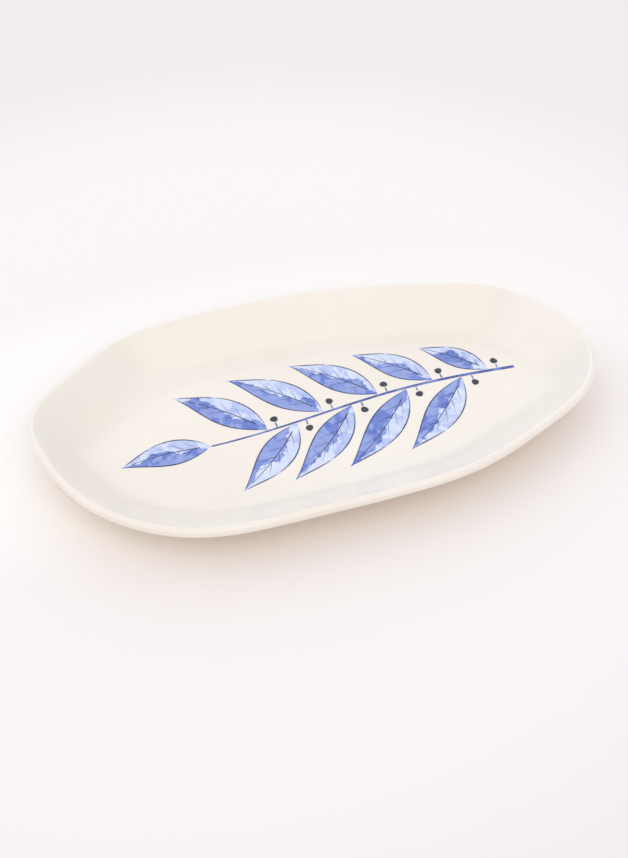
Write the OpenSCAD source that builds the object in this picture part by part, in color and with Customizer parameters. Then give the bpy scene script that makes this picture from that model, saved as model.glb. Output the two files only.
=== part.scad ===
// Oval serving platter in glazed stoneware, with a blue leaf sprig brushed on its floor.
// Sizes are in millimetres. X runs along the length with the broad end at -X, Z is up,
// and the origin lies on the table under the middle of the platter.

/* [Platter] */
// Overall length
platter_l = 406; // [340:1:460]
// Overall width
platter_w = 209; // [180:1:250]
// Overall height, from the table to the crest of the rim
platter_h = 35.5; // [28:0.5:45]
// Squareness of the outline, where 2 gives an ellipse
corner_power = 2.31; // [2:0.01:2.8]
// Narrowing of the slim end against the middle
end_taper = 0.102; // [0:0.002:0.16]
// Slant of the two ends
end_slant = -0.06; // [-0.1:0.002:0.1]
// Swell of the slow hand-formed waves in the outline
rim_wander = 0.011; // [0:0.001:0.02]

/* [Wall] */
// Thickness of the fired clay
clay_t = 4.5; // [3:0.1:6]
// Thickness of each glaze coat
glaze_t = 0.5; // [0.3:0.05:0.8]
// Level run of the curved wall, from the floor edge to the rim
wall_run = 43; // [34:0.5:50]
// Steepness of the wall at the rim, against its mean steepness
rim_slope = 1.4; // [0.2:0.05:1.6]
// Thickness of the lip's lower outer edge, against the wall behind it
lip_swell = 1.5; // [1:0.05:1.6]
// Run of the outer wall over which the thicker edge fades out
lip_fade = 12; // [6:0.5:20]

/* [Foot] */
// Height of the foot ring
foot_h = 4; // [2:0.5:7]
// Width of the foot ring
foot_w = 7; // [4:0.5:10]
// Distance from the floor edge in to the foot ring
foot_setback = 6; // [4:0.5:10]
// Bare clay left between a glaze line and the foot ring
bare_band = 2; // [1:0.25:3]

/* [Painted sprig] */
// Clear floor left round the sprig
paint_margin = 5; // [3:0.5:14]
// Greatest width of a leaf
leaf_w = 25; // [16:0.5:30]
// Clear floor between two leaves on one side of the stem
leaf_gap = 4; // [3:0.5:10]
// Angle of the leaves to the stem, degrees
leaf_lean = 42; // [32:1:50]
// Bend of a leaf, against its length
leaf_bend = 0.09; // [0:0.01:0.14]
// Length of the leaf at the tip of the stem
tip_leaf_l = 70; // [55:1:85]
// Bare stem from its root to the first leaf
bare_stem = 18; // [10:1:30]
// Rise and fall of the stem
stem_sway = 5; // [0:0.5:7]
// Width of the stem at its root
stem_w = 2.6; // [1.6:0.2:4]
// Width of a berry stalk
stalk_w = 1; // [0.6:0.1:1.6]
// Diameter of a berry
berry_d = 6; // [4:0.5:7]
// Distance from the stem to the middle of a berry
berry_reach = 9; // [7:0.5:11]
// Hairline of floor left between two brush strokes
stroke_gap = 0.5; // [0.3:0.1:1]
// Greatest width of an ink line
ink_w = 0.9; // [0.5:0.1:1.4]
// Thickness of a brushed wash
wash_t = 0.12; // [0.08:0.02:0.3]
// Thickness of an ink line
ink_t = 0.08; // [0.06:0.02:0.2]

/* [Fineness] */
// Points along the outline
around = 80; // [48:8:112]
// Steps up the wall
wall_steps = 8; // [6:1:12]
// Steps along a leaf
leaf_steps = 20; // [14:2:28]

/* [Hidden] */

clay_color = "#D8C9B4";
glaze_color = "#F6F0E6";
wash_color = "#B9C6EE";
shade_color = "#5C78C8";
stem_color = "#4A5FA8";
ink_color = "#2D2D41";

// Clay with a glaze coat on both faces
shell_t = clay_t + 2 * glaze_t;
// Climb of the middle of the shell, from the floor to the rim
rise = platter_h - shell_t / 2 - foot_h - clay_t / 2;
// Inset of the floor edge, the glaze line and both faces of the foot ring from the outline
floor_inset = shell_t / 2 + wall_run;
foot_inset = floor_inset + foot_setback;
line_inset = foot_inset - bare_band;
foot_inner_inset = foot_inset + foot_w;
base_inset = foot_inner_inset + bare_band;
// Height of the glazed floor, and of the dry top of the washes
floor_z = foot_h + clay_t + glaze_t;
wash_top = floor_z + wash_t;

// Counts of waves round the outline, where each set sits in degrees, and its share of the wander
wander_waves = [5, 6, 7, 9];
wander_turns = [110, -85, 170, 15];
wander_shares = [0.45, 1, 0.45, 0.65];

function signed_power(value, power) = sign(value) * pow(abs(value), power);

// Swell of the outline at the angle t
function swell(t) =
    let (sets = [for (i = [0 : len(wander_waves) - 1]) cos(wander_waves[i] * t - wander_turns[i])])
    1 + rim_wander * (wander_shares * sets);

// Outline before it is brought to size, at the angle t
function raw_point(t) =
    let (x = signed_power(cos(t), 2 / corner_power))
    let (y = signed_power(sin(t), 2 / corner_power) * (1 - end_taper * x))
    swell(t) * [x + end_slant * y, y];

raw_outline = [for (i = [0 : around - 1]) raw_point(360 * i / around)];
raw_low = [for (k = [0, 1]) min([for (p = raw_outline) p[k]])];
raw_high = [for (k = [0, 1]) max([for (p = raw_outline) p[k]])];
raw_mid = (raw_low + raw_high) / 2;
raw_half = (raw_high - raw_low) / 2;

// Outline that fills a square from -1 to 1
unit_outline = [for (p = raw_outline) [for (k = [0, 1]) (p[k] - raw_mid[k]) / raw_half[k]]];

function outline(inset) = [for (p = unit_outline)
    [p[0] * (platter_l / 2 - inset), p[1] * (platter_w / 2 - inset)]];

function ring(point) = [for (p = outline(point[0])) [p[0], p[1], point[1]]];

function reverse(list) = [for (i = [len(list) - 1 : -1 : 0]) list[i]];

// Climb of the wall from 0 at the floor edge to 1 at the rim, level at the floor
function climb(v) = (3 - rim_slope) * v * v + (rim_slope - 2) * v * v * v;
function climb_rate(v) = 2 * (3 - rim_slope) * v + 3 * (rim_slope - 2) * v * v;
function wall_lean(v) = atan(climb_rate(v) * rise / wall_run);

// Inset and height of a point that lies off the middle of the shell, upward if off is positive
function wall_point(v, off) = [
    shell_t / 2 + wall_run * (1 - v) + off * sin(wall_lean(v)),
    foot_h + clay_t / 2 + rise * climb(v) + off * cos(wall_lean(v))];

// Turn at which the lip meets the outer wall
lip_end = wall_lean(1) - 90;

// Growth of the lip below its outermost point, no further out than upright
function lip_growth(turn) = turn >= 0 ? 1 : min(1 + (lip_swell - 1) * pow(turn / lip_end, 2), 1 / cos(turn));

// Inset and height of a point on the rolled lip, where 90 degrees is the crest and 0 the outermost point
function lip_point(turn, off) = [
    shell_t / 2 - off * lip_growth(turn) * cos(turn),
    platter_h - shell_t / 2 + off * lip_growth(turn) * sin(turn)];

lip_turns = concat([90, 60, 30, 0], [for (share = [1, 2]) share * lip_end / 3]);

// Growth of the outer wall near the lip
function wall_growth(v) = 1 + (lip_growth(lip_end) - 1) * pow(max(0, 1 - wall_run * (1 - v) / lip_fade), 2);

// Point of the lip halfway from the inner wall to the crest
function inner_lip(off) = lip_point(90 + wall_lean(1) / 2, off);

function inner_side(off) = [for (i = [0 : wall_steps]) wall_point(i / wall_steps, off)];
function outer_side(off) = [for (i = [wall_steps : -1 : 0])
    wall_point(i / wall_steps, -off * wall_growth(i / wall_steps))];
function lip_side(off) = [for (turn = lip_turns) lip_point(turn, off)];

function ring_quads(count, size) = [for (j = [0 : size - 1]) for (i = [0 : count - 1])
    let (a = j * count + i)
    let (b = j * count + (i + 1) % count)
    each [[a, b + count, a + count], [a, b, b + count]]];

function turn_faces(faces, turned) = turned ? [for (face = faces) reverse(face)] : faces;

// Solid between a first and a last flat cap. A profile that runs inward first has its faces turned,
// so that a coat has the same facets as the clay it lies on.
module capped_loft(profile, turned = false) {
    sides = ring_quads(around, len(profile) - 1);
    first_cap = [for (i = [around - 1 : -1 : 0]) i];
    last_cap = [for (i = [0 : around - 1]) (len(profile) - 1) * around + i];
    polyhedron([for (point = profile) each ring(point)],
        turn_faces(concat(sides, [first_cap, last_cap]), turned));
}

// Solid that runs round the platter as a closed hoop
module hoop_loft(profile, turned = false) {
    total = len(profile) * around;
    sides = [for (face = ring_quads(around, len(profile))) [for (i = face) i % total]];
    polyhedron([for (point = profile) each ring(point)], turn_faces(sides, turned));
}

module clay_body() {
    color(clay_color)
    capped_loft(concat(inner_side(clay_t / 2), [inner_lip(clay_t / 2)],
        lip_side(clay_t / 2), outer_side(clay_t / 2)));
}

module foot_ring() {
    color(clay_color)
    linear_extrude(foot_h)
    difference() {
        polygon(outline(foot_inset));
        polygon(outline(foot_inner_inset));
    }
}

module inner_glaze() {
    top = concat(inner_side(shell_t / 2), [inner_lip(shell_t / 2), lip_point(90, shell_t / 2)]);
    under = concat(inner_side(clay_t / 2), [inner_lip(clay_t / 2), lip_point(90, clay_t / 2)]);
    color(glaze_color)
    capped_loft(concat(under, reverse(top)), turned = true);
}

module outer_glaze() {
    over = concat(lip_side(clay_t / 2), outer_side(clay_t / 2), [[line_inset, foot_h]]);
    face = concat(lip_side(shell_t / 2), outer_side(shell_t / 2), [[line_inset, foot_h - glaze_t]]);
    color(glaze_color)
    hoop_loft(concat(over, reverse(face)), turned = true);
}

module base_glaze() {
    color(glaze_color)
    translate([0, 0, foot_h - glaze_t])
    linear_extrude(glaze_t)
    polygon(outline(base_inset));
}

// The sprig lies in a field inside the floor edge and grows from the slim end to the broad end
field_l = platter_l / 2 - floor_inset - paint_margin;
field_w = platter_w / 2 - floor_inset - paint_margin;

// Halvings that find the edge of the field
halvings = 20;
// Width of the stem at its tip, against its root
stem_thin = 0.5;
// Where a leaf is fullest, and how far its ends are drawn out
fullness = 0.8;
roundness = 1.15;
// Line between the two washes of a leaf: its middle and its waves, as shares of the half width,
// then the degrees of wave along a leaf and between leaves
split_middle = 0.1;
split_wave = 0.3;
split_turns = 500;
split_shift = 7;
// Shares of a leaf's length at which its broken ink edge starts, stops, starts and stops
edge_shares = [0.07, 0.62, 0.66, 0.95];
// Shares of a leaf's length between which its rib runs
rib_shares = [0.12, 0.88];
// Shares of a leaf's length at which its veins start, the lag of the far side, and how far they run
vein_starts = [0.16, 0.3, 0.44, 0.58];
vein_lag = 0.05;
vein_run = 0.13;
// Share of the half width that a vein reaches
vein_reach = 0.68;
// Points round a berry, the depth of its dents against its radius, and the turn from one to the next
berry_sides = 28;
berry_dent = 0.18;
berry_turn = 77;
// Thinnest part of an ink edge, of a rib and of a vein, against the width of an ink line
edge_thin = 0.4;
rib_thin = 0.4;
vein_thin = 0.5;

// True where a point lies in the field, which has the outline's own shape
function in_field(p) =
    let (raw_y = raw_mid[1] + raw_half[1] * p[1] / field_w)
    let (x = raw_mid[0] + raw_half[0] * p[0] / field_l - end_slant * raw_y)
    let (y = raw_y / (1 - end_taper * x))
    let (t = atan2(signed_power(y, corner_power / 2), signed_power(x, corner_power / 2)))
    pow(abs(x), corner_power) + pow(abs(y), corner_power) < pow(swell(t), corner_power);

// Length from a point inside the field to its edge
function reach(from, dir, low, high, rounds) = rounds == 0 ? low :
    let (middle = (low + high) / 2)
    in_field(from + middle * dir) ?
        reach(from, dir, middle, high, rounds - 1) :
        reach(from, dir, low, middle, rounds - 1);

stem_l = 2 * field_l - tip_leaf_l;
leaf_step = (leaf_w + leaf_gap) / sin(leaf_lean) / 2;
leaf_count = floor((stem_l - bare_stem) / leaf_step);

// Point on the stem at a distance s from its root, and its width there
function stem_point(s) = [field_l - s, stem_sway * sin(180 * (field_l - s) / field_l)];
function stem_width(s) = stem_w * (1 - (1 - stem_thin) * s / stem_l);

function station(i) = bare_stem + i * leaf_step;
function side_of(i) = i % 2 == 0 ? 1 : -1;

// A leaf is its base, the pull of its bend, its tip, its width and the side it bends to
function make_leaf(base, dir, side) =
    let (length = reach(base, dir, 0, platter_w, halvings))
    let (pull = dir / 2 + side * leaf_bend * [dir[1], -dir[0]])
    [base, base + length * pull, base + length * dir, leaf_w * min(1, length / tip_leaf_l), side];

function side_leaf(i) =
    let (s = station(i))
    let (dir = [-cos(leaf_lean), side_of(i) * sin(leaf_lean)])
    make_leaf(stem_point(s) + dir * (stem_width(s) / 2 + stroke_gap) / sin(leaf_lean), dir, side_of(i));

leaves = concat(
    [for (i = [0 : leaf_count - 1]) side_leaf(i)],
    [make_leaf(stem_point(stem_l) - [stroke_gap, 0], [-1, 0], 1)]);

// Middle line of a leaf at the share u of its length, and the unit vector across it
function spine(leaf, u) = (1 - u) * (1 - u) * leaf[0] + 2 * u * (1 - u) * leaf[1] + u * u * leaf[2];
function across(leaf, u) =
    let (along = (1 - u) * (leaf[1] - leaf[0]) + u * (leaf[2] - leaf[1]))
    leaf[4] * [along[1], -along[0]] / norm(along);

function half_width(leaf, u) = leaf[3] / 2 * pow(max(0, sin(180 * pow(u, fullness))), roundness);

// Point of a leaf at a share of its half width, less a distance towards the spine
function leaf_point(leaf, u, share, less = 0) =
    spine(leaf, u) + across(leaf, u) * (share * half_width(leaf, u) - sign(share) * less);

function split_share(leaf, u) = split_middle + split_wave * sin(split_turns * u + split_shift * leaf[0][0]);

// Wash between the edge of a leaf on one side and the line that splits it
function leaf_half(leaf, side) = concat(
    [for (k = [0 : leaf_steps]) leaf_point(leaf, k / leaf_steps, side)],
    [for (k = [leaf_steps - 1 : -1 : 1])
        leaf_point(leaf, k / leaf_steps, split_share(leaf, k / leaf_steps))]);

// Brush line between two lists of points that run the same way
function band(first, second) = concat(first, reverse(second));

function shares(from, to, steps) = [for (k = [0 : steps]) from + (to - from) * k / steps];

// Ink along one edge of a leaf, fullest at its middle
function edge_line(leaf, side, from, to, steps) =
    let (us = shares(from, to, steps))
    let (wide = [for (k = [0 : steps]) ink_w * (edge_thin + (1 - edge_thin) * sin(180 * k / steps))])
    band([for (u = us) leaf_point(leaf, u, side)],
        [for (k = [0 : steps]) leaf_point(leaf, us[k], side, wide[k])]);

// Ink along the spine, thinning towards the tip
function rib_line(leaf, steps) =
    let (us = shares(rib_shares[0], rib_shares[1], steps))
    let (half = shares(ink_w / 2, rib_thin * ink_w / 2, steps))
    band([for (k = [0 : steps]) spine(leaf, us[k]) + across(leaf, us[k]) * half[k]],
        [for (k = [0 : steps]) spine(leaf, us[k]) - across(leaf, us[k]) * half[k]]);

// Ink of a side vein that leaves the spine at the share u and ends in a point
function vein_line(leaf, u, side) =
    let (root = spine(leaf, u) + across(leaf, u) * side * (ink_w / 2 + stroke_gap))
    let (end = leaf_point(leaf, u + vein_run, side * vein_reach))
    let (dir = (end - root) / norm(end - root))
    let (aside = [dir[1], -dir[0]] * vein_thin * ink_w / 2)
    [root + aside, end, root - aside];

// A berry sits by the stem, just before the next leaf on its side
function berry_station(i) = station(i) - berry_d;

// Brushed edge of a berry, drawn in a little on two or three sides
function berry_edge(i) = [for (k = [0 : berry_sides - 1])
    let (t = 360 * k / berry_sides)
    let (dent = 2 + sin(2 * t + berry_turn * i) + sin(3 * t - berry_turn * i))
    berry_d / 2 * (1 - berry_dent * dent / 4) * [cos(t), sin(t)]];

module brushed(thickness, z) {
    translate([0, 0, z])
    linear_extrude(thickness)
    children();
}

module leaf_washes() {
    color(wash_color)
    brushed(wash_t, floor_z)
    for (leaf = leaves)
        polygon(leaf_half(leaf, 1));
}

module leaf_shades() {
    color(shade_color)
    brushed(wash_t, floor_z)
    for (leaf = leaves)
        polygon(leaf_half(leaf, -1));
}

module stem_strokes() {
    line = shares(0, stem_l, 4 * leaf_steps);
    color(stem_color)
    brushed(wash_t, floor_z) {
        polygon(band(
            [for (s = line) stem_point(s) + [0, stem_width(s) / 2]],
            [for (s = line) stem_point(s) - [0, stem_width(s) / 2]]));
        for (i = [0 : leaf_count - 1])
            stalk(berry_station(i), side_of(i));
    }
}

module stalk(s, side) {
    low = side * (stem_width(s) / 2 + stroke_gap);
    high = side * (berry_reach - berry_d / 2 - stroke_gap);
    translate(stem_point(s))
    polygon([[-stalk_w / 2, low], [stalk_w / 2, low], [stalk_w / 2, high], [-stalk_w / 2, high]]);
}

module berry_spots() {
    color(ink_color)
    brushed(wash_t, floor_z)
    for (i = [0 : leaf_count - 1])
        translate(stem_point(berry_station(i)) + [0, side_of(i) * berry_reach])
        polygon(berry_edge(i));
}

module ink_lines() {
    color(ink_color)
    brushed(ink_t, wash_top)
    for (leaf = leaves) {
        polygon(edge_line(leaf, 1, edge_shares[0], edge_shares[1], leaf_steps / 2));
        polygon(edge_line(leaf, 1, edge_shares[2], edge_shares[3], leaf_steps / 2));
        polygon(edge_line(leaf, -1, edge_shares[0], edge_shares[3], leaf_steps));
        polygon(rib_line(leaf, leaf_steps / 2));
        for (u = vein_starts) {
            polygon(vein_line(leaf, u, 1));
            polygon(vein_line(leaf, u + vein_lag, -1));
        }
    }
}

clay_body();
foot_ring();
inner_glaze();
outer_glaze();
base_glaze();
leaf_washes();
leaf_shades();
stem_strokes();
berry_spots();
ink_lines();
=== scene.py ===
"""Looks of an oval glazed platter with a brushed leaf sprig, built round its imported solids."""

import logging
import math
from dataclasses import dataclass
from enum import Enum
from typing import Any

import bpy
import numpy as np
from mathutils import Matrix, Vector


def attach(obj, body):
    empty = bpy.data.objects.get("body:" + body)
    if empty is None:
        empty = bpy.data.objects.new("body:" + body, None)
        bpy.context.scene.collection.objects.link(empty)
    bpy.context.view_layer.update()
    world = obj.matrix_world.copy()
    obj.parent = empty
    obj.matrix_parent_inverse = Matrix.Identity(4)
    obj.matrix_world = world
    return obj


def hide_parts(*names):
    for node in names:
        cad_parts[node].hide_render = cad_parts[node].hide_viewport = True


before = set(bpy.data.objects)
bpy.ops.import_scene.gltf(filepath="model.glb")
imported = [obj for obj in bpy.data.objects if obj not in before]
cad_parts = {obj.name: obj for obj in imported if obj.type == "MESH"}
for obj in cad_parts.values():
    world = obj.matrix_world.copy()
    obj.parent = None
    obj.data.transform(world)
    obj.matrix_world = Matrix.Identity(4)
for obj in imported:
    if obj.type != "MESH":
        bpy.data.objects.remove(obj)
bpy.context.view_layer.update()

log = logging.getLogger("platter")

Color = tuple[float, float, float]
Faces = list[tuple[int, ...]]
Inputs = dict[str | int, Any] | None
Material = bpy.types.Material
Points = np.ndarray
Range = tuple[float, float]
Settings = dict[str, Any] | None
Stops = tuple[tuple[float, Color], ...]
Wave = tuple[int, float, float]

MM = 0.001
BODY = "root"
PHOTO_WIDTH = 628
PHOTO_HEIGHT = 858
THIN = "thin"
EDGE = "edge_mm"
SPLIT = "split_mm"


class Slot(Enum):
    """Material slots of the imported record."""

    CLAY = "clay"
    GLAZE = "glaze"
    PALE = "pale_wash"
    DEEP = "deep_wash"


class Side(Enum):
    """Half of a leaf, told by the sign of its offset from the spine."""

    PALE = 1
    DEEP = -1


class Signal:
    """Value of one shader socket that takes part in Python expressions."""

    def __init__(self, graph: "Graph", socket: bpy.types.NodeSocket) -> None:
        """Keeps the graph and the socket that carries the value."""
        self.graph = graph
        self.socket = socket

    def __add__(self, other: "Signal | float") -> "Signal":
        """Sum of two values."""
        return self.graph.math("ADD", self, other)

    __radd__ = __add__

    def __sub__(self, other: "Signal | float") -> "Signal":
        """Difference of two values."""
        return self.graph.math("SUBTRACT", self, other)

    def __rsub__(self, other: float) -> "Signal":
        """Difference of a number and this value."""
        return self.graph.math("SUBTRACT", other, self)

    def __mul__(self, other: "Signal | float") -> "Signal":
        """Product of two values."""
        return self.graph.math("MULTIPLY", self, other)

    __rmul__ = __mul__

    def __abs__(self) -> "Signal":
        """Size of the value without its sign."""
        return self.graph.math("ABSOLUTE", self)

    def rise(self, low: float, high: float) -> "Signal":
        """Smooth step of the value.

        Args:
            low: Value at which the step leaves 0.
            high: Value at which the step reaches 1.

        Returns:
            A value from 0 to 1.
        """
        return self.graph.read(
            "ShaderNodeMapRange",
            {"interpolation_type": "SMOOTHSTEP"},
            {"Value": self, "From Min": low, "From Max": high},
        )


class Graph:
    """Node tree of one material, with its output node in place."""

    MIX_FACTOR, MIX_A, MIX_B, MIX_RESULT = 0, 6, 7, 2
    NOISE_MIDDLE = 0.5

    def __init__(self, name: str) -> None:
        """Makes an empty material.

        Args:
            name: Name of the material.
        """
        self.material = bpy.data.materials.new(name)
        self.material.use_nodes = True
        self.tree = self.material.node_tree
        self.tree.nodes.clear()
        self.place = self.read("ShaderNodeTexCoord", output="Object")

    def node(self, kind: str, settings: Settings = None, inputs: Inputs = None) -> bpy.types.Node:
        """Adds one node.

        Args:
            kind: Blender's name of the node type.
            settings: Values of the node itself, set first. "stops" are the stops of a colour ramp.
            inputs: Values or signals by the name or number of a socket.

        Returns:
            The node.
        """
        node = self.tree.nodes.new(kind)
        for key, value in (settings or {}).items():
            if key == "stops":
                self._set_stops(node.color_ramp, value)
            else:
                setattr(node, key, value)
        for key, value in (inputs or {}).items():
            if isinstance(value, Signal):
                self.tree.links.new(value.socket, node.inputs[key])
            else:
                node.inputs[key].default_value = value
        return node

    @staticmethod
    def _set_stops(ramp: bpy.types.ColorRamp, stops: Stops) -> None:
        """Replaces the stops of a ramp.

        Args:
            ramp: The ramp.
            stops: Position and colour of each new stop.
        """
        while len(ramp.elements) > 1:
            ramp.elements.remove(ramp.elements[-1])
        for number, (position, color) in enumerate(stops):
            element = ramp.elements[0] if number == 0 else ramp.elements.new(position)
            element.position = position
            element.color = (*color, 1.0)

    def read(
        self,
        kind: str,
        settings: Settings = None,
        inputs: Inputs = None,
        output: str | int = 0,
    ) -> Signal:
        """Adds one node as node() does, and gives the output of that name or number."""
        return Signal(self, self.node(kind, settings, inputs).outputs[output])

    def math(self, operation: str, *values: "Signal | float") -> Signal:
        """Adds one Math node over the values, in their order."""
        return self.read("ShaderNodeMath", {"operation": operation}, dict(enumerate(values)))

    def noise(self, scale: float, detail: float = 2.0, roughness: float = 0.5) -> Signal:
        """Soft noise over the object, mostly from 0.3 to 0.7, with its scale in waves to the metre."""
        inputs = {"Vector": self.place, "Scale": scale, "Detail": detail, "Roughness": roughness}
        return self.read("ShaderNodeTexNoise", None, inputs)

    def drift(self, scale: float, detail: float = 2.0, roughness: float = 0.5) -> Signal:
        """Soft noise like that of noise(), to both sides of zero."""
        return self.noise(scale, detail, roughness) - self.NOISE_MIDDLE

    def grains(self, cells: float, chance: Range, radius: Range, channel: str) -> Signal:
        """Round grains strewn over the object.

        Args:
            cells: Places for a grain to the metre.
            chance: Range of a place's random number over which its grain appears.
            radius: Range over which a grain fades out, against the size of a place.
            channel: Colour channel that gives the random number.

        Returns:
            1 in a grain and 0 between the grains.
        """
        inputs = {"Vector": self.place, "Scale": cells}
        distance = self.read("ShaderNodeTexVoronoi", None, inputs, "Distance")
        tint = self.read("ShaderNodeTexVoronoi", None, inputs, "Color")
        number = self.read("ShaderNodeSeparateColor", None, {"Color": tint}, channel)
        return number.rise(*chance) * (1 - distance.rise(*radius))

    def field(self, name: str) -> Signal:
        """Value that the mesh stores under that name."""
        return self.read("ShaderNodeAttribute", {"attribute_name": name}, output="Fac")

    def blend(self, share: "Signal | float", first: "Signal | Color", second: "Signal | Color") -> Signal:
        """Colour that goes from the first to the second as the share goes from 0 to 1."""
        inputs = {self.MIX_FACTOR: share, self.MIX_A: self._rgba(first), self.MIX_B: self._rgba(second)}
        return self.read("ShaderNodeMix", {"data_type": "RGBA"}, inputs, self.MIX_RESULT)

    @staticmethod
    def _rgba(color: "Signal | Color") -> "Signal | tuple[float, ...]":
        """Colour with full alpha, or the signal as it is."""
        return color if isinstance(color, Signal) else (*color, 1.0)

    def bump(self, height: Signal, depth: float, strength: float) -> Signal:
        """Normal of a relief with its depth in metres, of which the strength is the share that shows."""
        return self.read("ShaderNodeBump", None, {"Strength": strength, "Distance": depth, "Height": height})

    def surface(self, inputs: Inputs) -> Material:
        """Closes the tree with a Principled shader.

        Args:
            inputs: Values or signals of the shader's sockets.

        Returns:
            The finished material.
        """
        shader = self.read("ShaderNodeBsdfPrincipled", None, inputs)
        self.node("ShaderNodeOutputMaterial", None, {"Surface": shader})
        return self.material


def linear_channel(value: int) -> float:
    """Linear value of one screen channel from 0 to 255, by the sRGB curve."""
    share = value / 255
    return share / 12.92 if share <= 0.04045 else ((share + 0.055) / 1.055) ** 2.4


def linear(red: int, green: int, blue: int) -> Color:
    """Linear colour of a screen colour from 0 to 255."""
    return linear_channel(red), linear_channel(green), linear_channel(blue)


@dataclass(frozen=True, kw_only=True)
class GlassySkin:
    """Clear glassy surface that the glaze and the paint under it share."""

    gloss: float = 0.2
    index: float = 1.48
    coat: float = 0.25
    coat_gloss: float = 0.14
    relief_depth: float = 0.0012
    relief_strength: float = 0.12

    def close(self, graph: Graph, color: Signal, dulling: Signal, relief: Signal) -> Material:
        """Closes a graph as a glassy surface.

        Args:
            graph: Graph of the finish.
            color: Its colour.
            dulling: Change of its roughness.
            relief: Height of its relief.

        Returns:
            The finished material.
        """
        return graph.surface(
            {
                "Base Color": color,
                "Roughness": self.gloss + dulling,
                "IOR": self.index,
                "Coat Weight": self.coat,
                "Coat Roughness": self.coat_gloss,
                "Normal": graph.bump(relief, self.relief_depth, self.relief_strength),
            }
        )


@dataclass(frozen=True, kw_only=True)
class CreamGlaze(GlassySkin):
    """Glossy cream glaze with faint clouds, fine specks and a slow ripple."""

    cream: Color = linear(239, 229, 219)
    cloud: Color = linear(242, 234, 226)
    speck: Color = linear(186, 164, 136)
    toast: Color = linear(227, 207, 179)
    cloud_waves: float = 9.0
    cloud_range: Range = (0.25, 0.75)
    speck_cells: float = 190.0
    speck_chance: Range = (0.86, 0.9)
    speck_radius: Range = (0.05, 0.13)
    speck_strength: float = 0.4
    patch_waves: float = 70.0
    patch_range: Range = (0.42, 0.58)
    toast_waves: float = 24.0
    toast_range: Range = (0.2, 0.6)
    toast_least: float = 0.6
    ripple_waves: float = 60.0
    peel_waves: float = 420.0
    peel_share: float = 0.12
    dull_waves: float = 140.0
    dull_share: float = 0.08

    def material(self, name: str) -> Material:
        """Builds the glaze.

        Args:
            name: Name of the material.

        Returns:
            The material.
        """
        graph = Graph(name)
        clouds = graph.noise(self.cloud_waves).rise(*self.cloud_range)
        patches = graph.noise(self.patch_waves, detail=1).rise(*self.patch_range)
        specks = graph.grains(self.speck_cells, self.speck_chance, self.speck_radius, "Red") * patches
        uneven = graph.noise(self.toast_waves, detail=3).rise(*self.toast_range)
        thin = graph.field(THIN) * (uneven * (1 - self.toast_least) + self.toast_least)
        tint = graph.blend(thin, graph.blend(clouds, self.cream, self.cloud), self.toast)
        color = graph.blend(specks * self.speck_strength, tint, self.speck)
        peel = graph.noise(self.peel_waves, detail=1) * self.peel_share
        dulling = graph.drift(self.dull_waves) * self.dull_share
        return self.close(graph, color, dulling, graph.noise(self.ripple_waves) + peel)


@dataclass(frozen=True, kw_only=True)
class BareClay:
    """Unglazed buff stoneware with sand, iron grains and a dry surface."""

    buff: Color = linear(214, 197, 172)
    pale: Color = linear(228, 215, 194)
    iron: Color = linear(128, 98, 68)
    toast: Color = linear(196, 164, 126)
    patch_waves: float = 55.0
    patch_range: Range = (0.35, 0.65)
    toast_waves: float = 18.0
    toast_range: Range = (0.5, 0.75)
    toast_strength: float = 0.5
    grain_cells: float = 520.0
    grain_chance: Range = (0.8, 0.86)
    grain_radius: Range = (0.12, 0.3)
    grain_strength: float = 0.7
    grain_sink: float = 0.5
    sand_waves: float = 2400.0
    pit_waves: float = 620.0
    pit_share: float = 0.8
    relief_depth: float = 0.0005
    relief_strength: float = 0.5
    dryness: float = 0.78
    dry_share: float = 0.2

    def material(self, name: str) -> Material:
        """Builds the clay.

        Args:
            name: Name of the material.

        Returns:
            The material.
        """
        graph = Graph(name)
        patches = graph.noise(self.patch_waves, detail=4).rise(*self.patch_range)
        toasted = graph.noise(self.toast_waves).rise(*self.toast_range) * self.toast_strength
        grains = graph.grains(self.grain_cells, self.grain_chance, self.grain_radius, "Green")
        color = graph.blend(patches, self.buff, self.pale)
        color = graph.blend(toasted, color, self.toast)
        color = graph.blend(grains * self.grain_strength, color, self.iron)
        sand = graph.drift(self.sand_waves)
        pits = graph.noise(self.pit_waves, detail=3) * self.pit_share
        relief = sand + pits - grains * self.grain_sink
        return graph.surface(
            {
                "Base Color": color,
                "Roughness": self.dryness + sand * self.dry_share,
                "Normal": graph.bump(relief, self.relief_depth, self.relief_strength),
            }
        )


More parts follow.
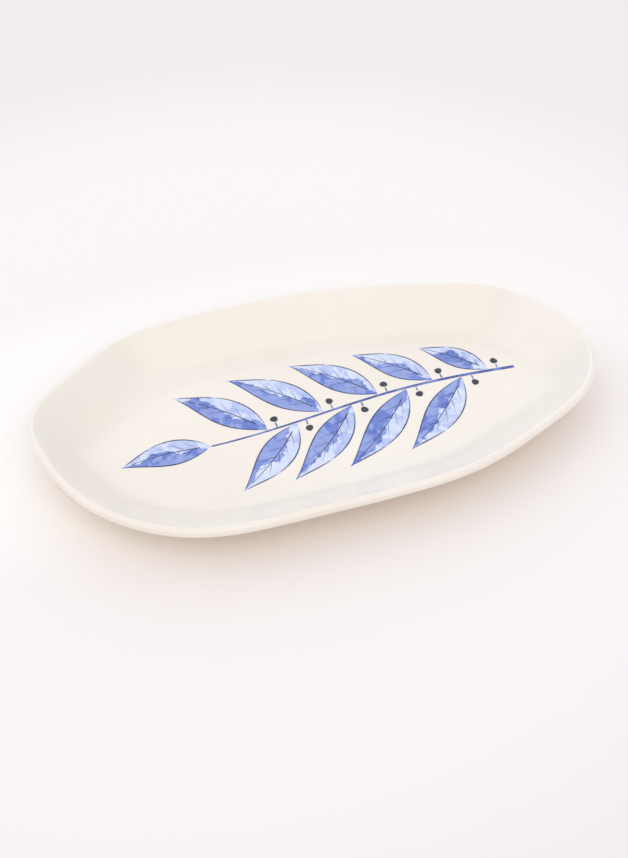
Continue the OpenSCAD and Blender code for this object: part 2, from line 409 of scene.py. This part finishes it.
@dataclass(frozen=True, kw_only=True)
class BlueWash(GlassySkin):
    """Blue brush wash under the glaze, pooled at its edges and softly run together."""

    stops: Stops = (
        (0.0, linear(226, 232, 248)),
        (0.2, linear(205, 214, 244)),
        (0.45, linear(155, 170, 226)),
        (0.75, linear(92, 116, 200)),
        (1.0, linear(56, 76, 166)),
    )
    slow_waves: float = 52.0
    run_waves: float = 170.0
    run_roughness: float = 0.55
    grain_waves: float = 1500.0
    ripple_waves: float = 60.0
    slow_sway_mm: float = 13.0
    run_sway_mm: float = 9.0
    deep_range: Range = (-0.5, 0.8)
    tide_mm: float = 0.7
    tide_range: Range = (0.0, 1.0)
    pool_range: Range = (0.1, 1.6)
    layer_waves: float = 75.0
    layer_lack: float = 0.03
    layer_sway: float = 24.0
    layer_run: float = 10.0
    layer_range: Range = (-0.6, 0.9)
    palest: float = 0.17
    layer_tone: float = 0.14
    deep_tone: float = 0.38
    tide_tone: float = 0.1
    pool_tone: float = 0.12
    run_tone: float = 0.3
    slow_tone: float = 0.2
    grain_tone: float = 0.1
    dull_share: float = 0.06

    def material(self, name: str) -> Material:
        """Builds the wash.

        Args:
            name: Name of the material.

        Returns:
            The material.
        """
        graph = Graph(name)
        slow = graph.drift(self.slow_waves)
        run = graph.drift(self.run_waves, detail=3, roughness=self.run_roughness)
        grain = graph.drift(self.grain_waves)
        depth = slow * self.slow_sway_mm + run * self.run_sway_mm - graph.field(SPLIT)
        deep = depth.rise(*self.deep_range)
        layer = (graph.drift(self.layer_waves) - self.layer_lack) * self.layer_sway
        layer = (layer + run * self.layer_run).rise(*self.layer_range)
        tide = 1 - abs(depth - self.tide_mm).rise(*self.tide_range)
        pool = 1 - graph.field(EDGE).rise(*self.pool_range)
        tone = self.palest + layer * self.layer_tone + deep * self.deep_tone
        tone = tone + tide * self.tide_tone + pool * self.pool_tone
        tone = tone + run * self.run_tone + slow * self.slow_tone + grain * self.grain_tone
        color = graph.read("ShaderNodeValToRGB", {"stops": self.stops}, {"Fac": tone})
        return self.close(graph, color, grain * self.dull_share, graph.noise(self.ripple_waves))


@dataclass(frozen=True, kw_only=True)
class BrushInk(GlassySkin):
    """Drawn or brushed dark line whose pigment thins and gathers."""

    thin: Color
    full: Color
    waves: float
    load_roughness: float = 0.6
    load_range: Range = (0.3, 0.62)
    grain_waves: float = 1700.0
    grain_share: float = 0.3
    relief_depth: float = 0.0002
    relief_strength: float = 0.2
    dull_share: float = 0.06

    def material(self, name: str) -> Material:
        """Builds the line.

        Args:
            name: Name of the material.

        Returns:
            The material.
        """
        graph = Graph(name)
        load = graph.noise(self.waves, detail=3, roughness=self.load_roughness)
        grain = graph.drift(self.grain_waves)
        share = (load + grain * self.grain_share).rise(*self.load_range)
        color = graph.blend(share, self.thin, self.full)
        return self.close(graph, color, grain * self.dull_share, load)


def make_piece(
    name: str,
    vertices: Points,
    faces: Faces,
    material: Material,
    nodes: tuple[str, ...],
    crease: float = 40.0,
) -> bpy.types.Object:
    """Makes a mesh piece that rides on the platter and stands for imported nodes.

    Args:
        name: Name of the piece.
        vertices: Points in millimetres.
        faces: Point numbers of each face.
        material: Finish of the piece.
        nodes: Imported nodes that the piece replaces.
        crease: Angle in degrees above which an edge stays sharp.

    Returns:
        The new object.
    """
    mesh = bpy.data.meshes.new(name)
    mesh.from_pydata((vertices * MM).tolist(), [], faces)
    mesh.polygons.foreach_set("use_smooth", [True] * len(mesh.polygons))
    mesh.set_sharp_from_angle(angle=math.radians(crease))
    mesh.materials.append(material)
    mesh.update()
    piece = bpy.data.objects.new(name, mesh)
    bpy.context.scene.collection.objects.link(piece)
    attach(piece, BODY)
    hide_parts(*nodes)
    log.info("%s: %d faces for %s", name, len(faces), ", ".join(nodes))
    return piece


def store_field(piece: bpy.types.Object, name: str, values: Points) -> None:
    """Stores one value for each point of a piece.

    Args:
        piece: Object whose mesh takes the values.
        name: Name that materials read them by.
        values: One number for each point.
    """
    layer = piece.data.attributes.new(name, "FLOAT", "POINT")
    layer.data.foreach_set("value", values.astype(np.float32))


def signed_power(values: Points, power: float) -> Points:
    """Power of the size of each value, with its sign kept."""
    return np.sign(values) * np.abs(values) ** power


def waver(turns: Points, waves: tuple[Wave, ...]) -> Points:
    """Sum of slow waves round an outline.

    Args:
        turns: Angles of the points, in radians.
        waves: Count round the outline, shift in radians and size of each wave.

    Returns:
        Offset at each point.
    """
    return sum(size * np.sin(count * turns + shift) for count, shift, size in waves)


@dataclass(frozen=True)
class Outline:
    """Egg-shaped outline of the platter, in millimetres."""

    length: float = 406.0
    width: float = 209.0
    corner_power: float = 2.31
    end_taper: float = 0.102
    end_slant: float = -0.06
    wander: float = 0.011
    wander_waves: tuple[int, ...] = (5, 6, 7, 9)
    wander_turns: tuple[float, ...] = (110.0, -85.0, 170.0, 15.0)
    wander_shares: tuple[float, ...] = (0.45, 1.0, 0.45, 0.65)
    around: int = 320

    @property
    def turns(self) -> Points:
        """Angles of the outline's points, in radians."""
        return np.linspace(0.0, 2 * math.pi, self.around, endpoint=False)

    def swell(self, turns: float | Points) -> float | Points:
        """Slow hand-formed waves of the outline.

        Args:
            turns: Angles in radians.

        Returns:
            Size at each angle, against the outline without waves.
        """
        swell = 1.0
        for waves, turn, share in zip(self.wander_waves, self.wander_turns, self.wander_shares):
            swell = swell + self.wander * share * np.cos(waves * turns - math.radians(turn))
        return swell

    def raw(self) -> Points:
        """Outline before it is brought to size.

        Returns:
            The points, one row each.
        """
        turns = self.turns
        x = signed_power(np.cos(turns), 2 / self.corner_power)
        y = signed_power(np.sin(turns), 2 / self.corner_power) * (1 - self.end_taper * x)
        return np.column_stack([x + self.end_slant * y, y]) * self.swell(turns)[:, None]

    def unit(self) -> Points:
        """Outline that fills a square from -1 to 1.

        Returns:
            The points, one row each.
        """
        raw = self.raw()
        low, high = raw.min(axis=0), raw.max(axis=0)
        return (2 * raw - low - high) / (high - low)

    def holds(self, point: Points, half: Points) -> bool:
        """Tells if a point lies in the outline's shape at another size.

        Args:
            point: The point.
            half: Half the length and half the width of the shape.

        Returns:
            True inside the shape.
        """
        raw, power = self.raw(), self.corner_power
        low, high = raw.min(axis=0), raw.max(axis=0)
        place = (low + high + point / half * (high - low)) / 2
        x = place[0] - self.end_slant * place[1]
        y = place[1] / (1 - self.end_taper * x)
        turn = math.atan2(signed_power(y, power / 2), signed_power(x, power / 2))
        return abs(x) ** power + abs(y) ** power < self.swell(turn) ** power

    def ring(self, inset: float | Points, height: float | Points, scale: float = 1.0) -> Points:
        """Ring of points inside the outline.

        Args:
            inset: Distance in from the outline.
            height: Height over the table.
            scale: Size against the ring at that inset.

        Returns:
            The points, one row each.
        """
        halves = [np.broadcast_to(size / 2 - inset, self.around) for size in (self.length, self.width)]
        flat = self.unit() * np.column_stack(halves) * scale
        return np.column_stack([flat, np.broadcast_to(height, self.around)])


def ring_faces(rings: int, around: int, hoop: bool) -> Faces:
    """Four-sided faces between rings that follow each other.

    Args:
        rings: Count of rings.
        around: Count of points on a ring.
        hoop: True if the last ring meets the first.

    Returns:
        The faces, turned outward for rings that run down the outside.
    """
    faces = []
    for ring in range(rings if hoop else rings - 1):
        here, there = ring * around, (ring + 1) % rings * around
        for point in range(around):
            after = (point + 1) % around
            faces.append((here + point, there + point, there + after, here + after))
    return faces


def capped_rings(points: Points, around: int) -> tuple[Points, Faces]:
    """Joins rings into a closed solid, with a fan over the first and the last ring.

    Args:
        points: Rings one after the other, with the upper end first.
        around: Points in a ring.

    Returns:
        Points and faces.
    """
    count = len(points) // around
    faces = ring_faces(count, around, hoop=False)
    upper, lower, last = len(points), len(points) + 1, (count - 1) * around
    for point in range(around):
        after = (point + 1) % around
        faces.append((upper, point, after))
        faces.append((lower, last + after, last + point))
    middles = [points[:around].mean(axis=0), points[-around:].mean(axis=0)]
    return np.vstack([points, middles]), faces


@dataclass(frozen=True)
class Shell:
    """Clay body with its glaze coat, as a curved wall round a flat floor."""

    outline: Outline
    height: float = 35.5
    clay: float = 4.5
    glaze: float = 0.5
    wall_run: float = 43.0
    rim_slope: float = 1.4
    lip_swell: float = 1.5
    lip_fade: float = 12.0
    foot_height: float = 4.0
    foot_setback: float = 6.0
    bare_band: float = 2.0
    wall_steps: int = 40
    lip_steps: int = 18
    floor_rings: int = 14
    rim_sag: float = 0.35
    sag_waves: tuple[Wave, ...] = ((3, 0.8, 1.0), (5, 2.1, 0.6))
    line_waves: tuple[Wave, ...] = ((6, 0.5, 0.45), (11, 1.9, 0.35), (23, 0.0, 0.2))
    line_steps: int = 5
    thin_fade: float = 0.15

    @property
    def thickness(self) -> float:
        """Clay with a glaze coat on both faces."""
        return self.clay + 2 * self.glaze

    @property
    def rise(self) -> float:
        """Climb of the middle of the shell from the floor to the rim."""
        return self.height - self.thickness / 2 - self.foot_height - self.clay / 2

    @property
    def rim_lean(self) -> float:
        """Lean of the wall at the rim, in radians."""
        return self.climb(1.0)[1]

    @property
    def floor_inset(self) -> float:
        """Inset of the floor edge from the outline."""
        return self.thickness / 2 + self.wall_run

    @property
    def floor_height(self) -> float:
        """Height of the glazed floor."""
        return self.foot_height + self.clay + self.glaze

    def climb(self, share: float) -> tuple[float, float]:
        """Climb of the wall and its lean.

        Args:
            share: Place on the wall, from 0 at the floor to 1 at the rim.

        Returns:
            The climb from 0 to 1, and the lean in radians.
        """
        square, cube = 3 - self.rim_slope, self.rim_slope - 2
        slope = (2 * square * share + 3 * cube * share * share) * self.rise / self.wall_run
        return square * share**2 + cube * share**3, math.atan(slope)

    def wall(self, share: float, off: float) -> tuple[float, float]:
        """Point of the wall.

        Args:
            share: Place on the wall, from 0 at the floor to 1 at the rim.
            off: Distance off the middle of the shell, positive towards the food.

        Returns:
            Inset and height.
        """
        climb, lean = self.climb(share)
        inset = self.thickness / 2 + self.wall_run * (1 - share) + off * math.sin(lean)
        return inset, self.foot_height + self.clay / 2 + self.rise * climb + off * math.cos(lean)

    def lip(self, off: float) -> list[tuple[float, float]]:
        """Points of the rolled lip between the inner and the outer wall.

        Args:
            off: Radius of the lip.

        Returns:
            Inset and height of each point.
        """
        half = self.thickness / 2
        points = []
        for step in range(1, self.lip_steps):
            turn = math.pi / 2 + self.rim_lean - math.pi * step / self.lip_steps
            reach = off * self.lip_growth(turn)
            points.append((half - reach * math.cos(turn), self.height - half + reach * math.sin(turn)))
        return points

    def lip_growth(self, turn: float) -> float:
        """Growth of the lip below its outermost point, no further out than upright.

        Args:
            turn: Angle round the lip, from 0 at its outermost point up.

        Returns:
            Radius there against the radius of the crest.
        """
        if turn >= 0:
            return 1.0
        end = self.rim_lean - math.pi / 2
        return min(1 + (self.lip_swell - 1) * (turn / end) ** 2, 1 / math.cos(turn))

    def inside(self, off: float) -> list[tuple[float, float]]:
        """Inner wall from the floor edge to the rim."""
        return [self.wall(step / self.wall_steps, off) for step in range(self.wall_steps + 1)]

    def outside(self, off: float) -> list[tuple[float, float]]:
        """Outer wall from the rim to the floor edge, thicker next to the lip.

        Args:
            off: Distance off the middle of the shell, away from the lip.

        Returns:
            Inset and height of each point.
        """
        growth = self.lip_growth(self.rim_lean - math.pi / 2) - 1
        shares = [step / self.wall_steps for step in range(self.wall_steps, -1, -1)]
        near = [max(0.0, 1 - self.wall_run * (1 - share) / self.lip_fade) ** 2 for share in shares]
        return [self.wall(share, -off * (1 + growth * fade)) for share, fade in zip(shares, near)]

    def sag(self, height: float) -> Points:
        """Slow dips of the rim, which fade out towards the floor.

        Args:
            height: Height of a ring.

        Returns:
            Height of each point of the ring.
        """
        deepest = sum(size for _, _, size in self.sag_waves)
        dips = (waver(self.outline.turns, self.sag_waves) + deepest) / (2 * deepest)
        share = max(0.0, (height - self.floor_height) / (self.height - self.floor_height))
        return height - self.rim_sag * dips * share**2

    def rings(self, profile: list[tuple[float, float]]) -> Points:
        """Rings along a profile, one after the other."""
        return np.vstack([self.outline.ring(inset, self.sag(height)) for inset, height in profile])

    def disc(self, height: float) -> Points:
        """Flat rings from the middle of the floor out to its edge."""
        shares = [step / self.floor_rings for step in range(1, self.floor_rings)]
        return np.vstack([self.outline.ring(self.floor_inset, height, share) for share in shares])

    def solid(self, top: float, walls: Points, bottom: float) -> tuple[Points, Faces]:
        """Closed solid between two flat discs.

        Args:
            top: Height of the upper disc.
            walls: Rings between the discs.
            bottom: Height of the lower disc.

        Returns:
            Points and faces.
        """
        around = self.outline.around
        under = self.disc(bottom).reshape(self.floor_rings - 1, around, 3)[::-1].reshape(-1, 3)
        return capped_rings(np.vstack([self.disc(top), walls, under]), around)

    def glaze_line(self) -> list[tuple[Points, Points]]:
        """Rounded, wavering end of the outer glaze on the flat underside.

        Returns:
            Insets and heights of its rings, from the glaze face up to the clay.
        """
        line = self.floor_inset + self.foot_setback - self.bare_band
        line = line + waver(self.outline.turns, self.line_waves)
        rings = []
        for bend in np.linspace(0.0, math.pi / 2, self.line_steps):
            height = self.foot_height - self.glaze * math.cos(bend)
            rings.append((line - self.glaze * (1 - math.sin(bend)), np.full_like(line, height)))
        return rings

    def thinness(self, points: int, start: int, edge: int) -> Points:
        """Share of thin coat, which grows below the lip and is full at the wavering end.

        Args:
            points: Count of points of the coat.
            start: First point of its outer wall.
            edge: Count of points of its wavering end.

        Returns:
            A value from 0 to 1 for each point.
        """
        around = self.outline.around
        fall = np.linspace(0.0, 1.0 / self.thin_fade, self.wall_steps + 1).clip(0.0, 1.0)
        stop = start + len(fall) * around
        thin = np.zeros(points)
        thin[start:stop] = fall.repeat(around)
        thin[stop : stop + edge] = 1.0
        return thin

    def build(self, clay: Material, glaze: Material) -> None:
        """Builds the clay body and the glaze coat over it.

        Args:
            clay: Finish of the body.
            glaze: Finish of the coat.
        """
        half, full = self.clay / 2, self.thickness / 2
        profile = self.inside(half) + self.lip(half) + self.outside(half)
        points, faces = self.solid(self.foot_height + self.clay, self.rings(profile), self.foot_height)
        make_piece("clay_shell", points, faces, clay, ("clay_body",))
        food_side = self.inside(full) + self.lip(full)
        face = self.rings(food_side + self.outside(full))
        edge = np.vstack([self.outline.ring(inset, height) for inset, height in self.glaze_line()])
        walls = np.vstack([face, edge, self.rings(profile[::-1])])
        points, faces = self.solid(self.floor_height, walls, self.foot_height + self.clay)
        coat = make_piece("glaze_coat", points, faces, glaze, ("inner_glaze", "outer_glaze"))
        start = (self.floor_rings - 1 + len(food_side)) * self.outline.around
        store_field(coat, THIN, self.thinness(len(points), start, len(edge)))


@dataclass(frozen=True)
class Foot:
    """Bare foot ring and the glaze patch inside it."""

    outline: Outline
    shell: Shell
    width: float = 7.0
    edge_round: float = 1.3
    round_steps: int = 7
    crease: float = 50.0
    patch_waves: tuple[Wave, ...] = ((5, 1.1, 0.5), (12, 0.3, 0.3))
    patch_rings: int = 12
    patch_steps: int = 6

    def build(self, clay: Material, glaze: Material) -> None:
        """Builds the ring and the patch.

        Args:
            clay: Finish of the ring.
            glaze: Finish of the patch.
        """
        outer = self.shell.floor_inset + self.shell.foot_setback
        inner = outer + self.width
        top = self.shell.foot_height
        bend = np.linspace(0.0, math.pi / 2, self.round_steps)
        radius = self.edge_round
        profile = [(outer, top)]
        profile += [(outer + radius * (1 - math.cos(b)), radius * (1 - math.sin(b))) for b in bend]
        profile += [(inner - radius * (1 - math.sin(b)), radius * (1 - math.cos(b))) for b in bend]
        profile += [(inner, top)]
        points = np.vstack([self.outline.ring(inset, height) for inset, height in profile])
        faces = ring_faces(len(profile), self.outline.around, hoop=True)
        make_piece("foot_coil", points, faces, clay, ("foot_ring",), self.crease)
        self._patch(inner + self.shell.bare_band, glaze)

    def _patch(self, inset: float, glaze: Material) -> None:
        """Makes the glaze patch with a rounded, wavering edge.

        Args:
            inset: Mean inset of its edge from the outline.
            glaze: Finish of the patch.
        """
        edge = inset + waver(self.outline.turns, self.patch_waves)
        top, deep = self.shell.foot_height, self.shell.glaze
        bend = np.linspace(0.0, math.pi / 2, self.patch_steps)
        shares = [step / self.patch_rings for step in range(1, self.patch_rings)]
        rings = [self.outline.ring(edge, top, share) for share in shares]
        rings += [self.outline.ring(edge + deep * (1 - math.cos(b)), top - deep * math.sin(b)) for b in bend]
        rings += [self.outline.ring(edge + deep, top - deep, share) for share in shares[::-1]]
        points, faces = capped_rings(np.vstack(rings), self.outline.around)
        patch = make_piece("glaze_patch", points, faces, glaze, ("base_glaze",))
        store_field(patch, THIN, np.ones(len(points)))


@dataclass(frozen=True)
class Leaf:
    """One painted leaf: a bent spine with a width."""

    base: Points
    pull: Points
    tip: Points
    width: float
    side: int
    fullness: float = 0.8
    roundness: float = 1.15

    def spine(self, share: Points) -> Points:
        """Points of the spine at shares of its length."""
        u = share[:, None]
        return (1 - u) ** 2 * self.base + 2 * u * (1 - u) * self.pull + u**2 * self.tip

    def across(self, share: Points) -> Points:
        """Unit vectors across the spine.

        Args:
            share: Shares of the spine's length.

        Returns:
            The vectors, one row each.
        """
        u = share[:, None]
        along = (1 - u) * (self.pull - self.base) + u * (self.tip - self.pull)
        turned = np.column_stack([along[:, 1], -along[:, 0]])
        return self.side * turned / np.linalg.norm(along, axis=1)[:, None]

    def half_width(self, share: Points) -> Points:
        """Half the width of the leaf at shares of its length."""
        swell = np.maximum(0.0, np.sin(math.pi * share**self.fullness))
        return self.width / 2 * swell**self.roundness


@dataclass(frozen=True)
class Sprig:
    """Leaves brushed on the floor, each in a pale and a deep half."""

    LEAF_ENDS = 2

    outline: Outline
    shell: Shell
    margin: float = 5.0
    leaf_width: float = 25.0
    leaf_gap: float = 4.0
    leaf_lean: float = 42.0
    leaf_bend: float = 0.09
    tip_leaf: float = 70.0
    bare_stem: float = 18.0
    stem_sway: float = 5.0
    stem_width: float = 2.6
    stem_thin: float = 0.5
    stroke_gap: float = 0.5
    split_middle: float = 0.1
    split_wave: float = 0.3
    split_turns: float = 500.0
    split_shift: float = 7.0
    wash: float = 0.12
    steps_along: int = 60
    steps_across: int = 10
    halvings: int = 20

    @property
    def field(self) -> Points:
        """Half length and half width of the painted field."""
        inset = self.shell.floor_inset + self.margin
        return np.array([self.outline.length / 2 - inset, self.outline.width / 2 - inset])

    @property
    def stem_length(self) -> float:
        """Length of the stem along the platter."""
        return 2 * self.field[0] - self.tip_leaf

    def stem_point(self, distance: float) -> Points:
        """Point of the stem at a distance from its root."""
        x = self.field[0] - distance
        return np.array([x, self.stem_sway * math.sin(math.pi * x / self.field[0])])

    def make_leaf(self, base: Points, way: Points, side: int) -> Leaf:
        """Leaf that reaches from its base to the edge of the field.

        Args:
            base: Foot of the leaf.
            way: Unit vector from the foot to the tip.
            side: 1 or -1, the side that it bends to.

        Returns:
            The leaf.
        """
        low, high = 0.0, self.outline.width
        for _ in range(self.halvings):
            middle = (low + high) / 2
            inside = self.outline.holds(base + middle * way, self.field)
            low, high = (middle, high) if inside else (low, middle)
        pull = way / 2 + side * self.leaf_bend * np.array([way[1], -way[0]])
        width = self.leaf_width * min(1.0, low / self.tip_leaf)
        return Leaf(base, base + low * pull, base + low * way, width, side)

    def leaves(self) -> list[Leaf]:
        """Leaves of the sprig.

        Returns:
            The side leaves from the root on, then the leaf at the tip.
        """
        lean = math.radians(self.leaf_lean)
        step = (self.leaf_width + self.leaf_gap) / math.sin(lean) / 2
        leaves = []
        for number in range(math.floor((self.stem_length - self.bare_stem) / step)):
            distance = self.bare_stem + number * step
            side = 1 if number % 2 == 0 else -1
            way = np.array([-math.cos(lean), side * math.sin(lean)])
            stem = self.stem_width * (1 - (1 - self.stem_thin) * distance / self.stem_length)
            base = self.stem_point(distance) + way * (stem / 2 + self.stroke_gap) / math.sin(lean)
            leaves.append(self.make_leaf(base, way, side))
        end = self.stem_point(self.stem_length) - np.array([self.stroke_gap, 0.0])
        leaves.append(self.make_leaf(end, np.array([-1.0, 0.0]), 1))
        return leaves

    def split(self, leaf: Leaf, share: Points) -> Points:
        """Line between the two washes of a leaf, as a share of its half width."""
        turn = self.split_turns * share + self.split_shift * leaf.base[0]
        return self.split_middle + self.split_wave * np.sin(np.radians(turn))

    def half_leaf(self, leaf: Leaf, side: Side) -> tuple[Points, Points, Points]:
        """Flat grid over one wash of a leaf.

        Args:
            leaf: The leaf.
            side: Its half.

        Returns:
            Points as columns along the leaf, their distance to its edge, and their distance to the split.
        """
        share = np.linspace(0.0, 1.0, self.steps_along + 1)[1:-1]
        half, split = leaf.half_width(share), self.split(leaf, share)
        spine, across = leaf.spine(share), leaf.across(share)
        length = np.linalg.norm(leaf.tip - leaf.base)
        ends = np.minimum(share, 1 - share) * length
        columns, edges, splits = [], [], []
        for row in np.linspace(0.0, 1.0, self.steps_across + 1):
            offset = split + (side.value - split) * row
            columns.append(spine + across * (offset * half)[:, None])
            edges.append(np.minimum((1 - np.abs(offset)) * half, ends))
            splits.append((offset - split) * half)
        return np.stack(columns, axis=1), np.stack(edges, axis=1), np.stack(splits, axis=1)

    def wash_mesh(self, side: Side) -> tuple[Points, Faces, Points, Points]:
        """Thin closed washes over one half of every leaf.

        Args:
            side: Half of the leaves.

        Returns:
            Points, faces, and each point's distance to the leaf's edge and to the split.
        """
        points, faces, edges, splits = [], [], [], []
        for leaf in self.leaves():
            grid, edge, split = self.half_leaf(leaf, side)
            flat = np.vstack([leaf.base[None], leaf.tip[None], grid.reshape(-1, 2)])
            far, off = (np.pad(values.ravel(), (self.LEAF_ENDS, 0)) for values in (edge, split))
            start = sum(len(block) for block in points)
            low = self.shell.floor_height
            for height in (low + self.wash, low):
                points.append(np.column_stack([flat, np.full(len(flat), height)]))
                edges.append(far)
                splits.append(off)
            faces += self.wash_faces(start, *grid.shape[:2], side.value * leaf.side)
        return np.vstack(points), faces, np.concatenate(edges), np.concatenate(splits)

    @classmethod
    def wash_faces(cls, start: int, along: int, across: int, turn: int) -> Faces:
        """Faces of one thin wash, whose first points are the two ends of the leaf.

        Args:
            start: Number of its first point.
            along: Columns of the grid.
            across: Points in a column.
            turn: 1 or -1, which way the grid winds.

        Returns:
            The upper, the lower and the side faces.
        """
        count = cls.LEAF_ENDS + along * across
        cell = np.arange(cls.LEAF_ENDS, count).reshape(along, across)
        top = []
        for here, there in zip(cell, cell[1:]):
            for row in range(across - 1):
                top.append((here[row], here[row + 1], there[row + 1], there[row]))
        for row in range(across - 1):
            top.append((0, cell[0, row + 1], cell[0, row]))
            top.append((1, cell[-1, row], cell[-1, row + 1]))
        rim = [0, *cell[:, 0], 1, *cell[::-1, -1]]
        ordered = [face[::turn] for face in top]
        faces = [tuple(int(start + p) for p in face) for face in ordered]
        faces += [tuple(int(start + count + p) for p in face[::-1]) for face in ordered]
        for here, there in zip(rim, rim[1:] + rim[:1]):
            quad = (here, there, there + count, here + count)[::turn]
            faces.append(tuple(int(start + p) for p in quad))
        return faces

    def build(self, pale: Material, deep: Material) -> None:
        """Builds the washes.

        Args:
            pale: Finish of the pale halves.
            deep: Finish of the deep halves.
        """
        rows = (
            ("pale_leaves", Side.PALE, pale, Slot.PALE, "leaf_washes"),
            ("deep_leaves", Side.DEEP, deep, Slot.DEEP, "leaf_shades"),
        )
        for name, side, material, slot, node in rows:
            points, faces, edges, splits = self.wash_mesh(side)
            piece = make_piece(name, points, faces, material, (node,))
            store_field(piece, EDGE, edges)
            store_field(piece, SPLIT, splits)


def dress_node(node: str, material: Material) -> None:
    """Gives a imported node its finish.

    Args:
        node: Name of the node.
        material: Its finish.
    """
    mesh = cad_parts[node].data
    mesh.materials.clear()
    mesh.materials.append(material)
    log.info("%s: kept with %s", node, material.name)


@dataclass(frozen=True)
class Sun:
    """Wide weak light from far away."""

    name: str
    color: Color
    level: float
    source: tuple[float, float, float]
    spread: float = 55.0

    def build(self) -> None:
        """Builds the lamp."""
        light = bpy.data.lights.new(self.name, "SUN")
        light.color = self.color
        light.energy = self.level
        light.angle = math.radians(self.spread)
        lamp = bpy.data.objects.new(self.name, light)
        lamp.rotation_euler = Vector(self.source).to_track_quat("Z", "Y").to_euler()
        bpy.context.scene.collection.objects.link(lamp)


@dataclass(frozen=True)
class Studio:
    """Pale table, soft light and the photograph's camera."""

    table: Color = linear(244, 238, 237)
    table_size: float = 12.0
    # Middle of the ovals that place the painted pool of light and the painted shade on the table.
    tone_middle: tuple[float, float] = (-0.06, 0.048)
    tone_start: float = 0.3
    # Painted pool of light: the table is paler round the broad end and far side of the platter, which
    # lightens the platter's shadow there.
    pool: Color = linear(250, 246, 245)
    painted_light_reach: tuple[float, float] = (0.35, 0.148)
    # Painted shade: the table turns darker far from the platter, as if the light fell off there.
    painted_far_shade: Color = linear(235, 227, 227)
    painted_shade_reach: tuple[float, float] = (0.53, 0.47)
    mottle_waves: float = 3.0
    mottle: float = 0.1
    dullness: float = 0.9
    shine: float = 0.1
    sky: Color = (0.89, 0.92, 1.0)
    sky_level: float = 0.89
    suns: tuple[Sun, ...] = (
        Sun("front_sun", (1.0, 0.9, 0.59), 0.595, (0.0, -0.64, 0.77)),
        Sun("left_sun", (1.0, 1.0, 0.9), 0.39, (-0.61, 0.2, 0.77)),
        Sun("back_sun", (0.86, 1.0, 1.0), 0.31, (0.28, 0.86, 0.42)),
    )
    azimuth: float = -18.54
    elevation: float = 48.0
    distance: float = 0.9383
    target: tuple[float, float, float] = (-0.00628, -0.00459, 0.0)
    focal_pixels: float = 1300.0
    sensor: float = 36.0

    def beyond(self, graph: Graph, reach: tuple[float, float]) -> Signal:
        """Share that grows slowly away from the broad end and the far side of the platter, and places the
        painted pool of light and the painted shade on the table.

        Args:
            graph: Graph of the table.
            reach: Half sizes of the oval at which the share is full.

        Returns:
            A value from 0 to 1.
        """
        x = graph.read("ShaderNodeSeparateXYZ", None, {"Vector": graph.place}, "X") - self.tone_middle[0]
        y = graph.read("ShaderNodeSeparateXYZ", None, {"Vector": graph.place}, "Y") - self.tone_middle[1]
        far = x * x * reach[0] ** -2 + y * y * reach[1] ** -2
        return far.rise(self.tone_start, 1.0)

    def table_material(self) -> Material:
        """Plain matt table with a painted pool of light round the broad end and far side of the platter,
        which lightens the platter's shadow there, and painted shade that makes it darker far away.

        Returns:
            The material.
        """
        graph = Graph("pale_table")
        # Painted shade: the table colour darkens towards the far oval.
        painted_shade_table = graph.blend(self.beyond(graph, self.painted_shade_reach), self.table, self.painted_far_shade)
        mottle = graph.drift(self.mottle_waves) * self.mottle
        # Painted pool of light: paler table near the platter, fading out across its oval.
        color = graph.blend(1 - self.beyond(graph, self.painted_light_reach) + mottle, painted_shade_table, self.pool)
        inputs = {"Base Color": color, "Roughness": self.dullness, "Specular IOR Level": self.shine}
        return graph.surface(inputs)

    def build_table(self) -> None:
        """Builds the table that the platter stands on."""
        half = self.table_size / 2
        mesh = bpy.data.meshes.new("table")
        corners = [(-half, -half, 0), (half, -half, 0), (half, half, 0), (-half, half, 0)]
        mesh.from_pydata(corners, [], [(0, 1, 2, 3)])
        mesh.materials.append(self.table_material())
        table = bpy.data.objects.new("table", mesh)
        bpy.context.scene.collection.objects.link(table)

    def build_light(self) -> None:
        """Builds the even sky and the wide weak suns."""
        world = bpy.data.worlds.new("sky")
        world.use_nodes = True
        background = world.node_tree.nodes["Background"]
        background.inputs["Color"].default_value = (*self.sky, 1.0)
        background.inputs["Strength"].default_value = self.sky_level
        bpy.context.scene.world = world
        for sun in self.suns:
            sun.build()

    def build_camera(self) -> None:
        """Sets the camera where the photograph was taken from."""
        turn, tilt = math.radians(self.azimuth), math.radians(self.elevation)
        back = Vector((math.sin(turn) * math.cos(tilt), -math.cos(turn) * math.cos(tilt), math.sin(tilt)))
        data = bpy.data.cameras.new("camera")
        data.sensor_width = self.sensor
        data.lens = self.focal_pixels * self.sensor / max(PHOTO_WIDTH, PHOTO_HEIGHT)
        camera = bpy.data.objects.new("camera", data)
        camera.location = Vector(self.target) + back * self.distance
        camera.rotation_euler = back.to_track_quat("Z", "Y").to_euler()
        bpy.context.scene.collection.objects.link(camera)
        bpy.context.scene.camera = camera

    def build(self) -> None:
        """Builds the table, the light and the camera."""
        self.build_table()
        self.build_light()
        self.build_camera()
        bpy.context.scene.view_settings.view_transform = "Standard"


def main() -> None:
    """Builds the platter, its painted sprig and the studio."""
    logging.basicConfig(level=logging.INFO, format="%(message)s")
    outline = Outline()
    shell = Shell(outline)
    clay = BareClay().material("bare_clay")
    glaze = CreamGlaze().material("cream_glaze")
    shell.build(clay, glaze)
    Foot(outline, shell).build(clay, glaze)
    Sprig(outline, shell).build(BlueWash().material("pale_blue"), BlueWash().material("deep_blue"))
    stem = BrushInk(thin=linear(118, 138, 206), full=linear(58, 74, 150), waves=90.0)
    berry = BrushInk(thin=linear(52, 54, 84), full=linear(26, 26, 40), waves=220.0)
    ink = BrushInk(thin=linear(70, 76, 112), full=linear(34, 34, 52), waves=300.0)
    dress_node("stem_strokes", stem.material("stem_blue"))
    dress_node("berry_spots", berry.material("berry_ink"))
    dress_node("ink_lines", ink.material("line_ink"))
    Studio().build()


if __name__ == "__main__":
    main()
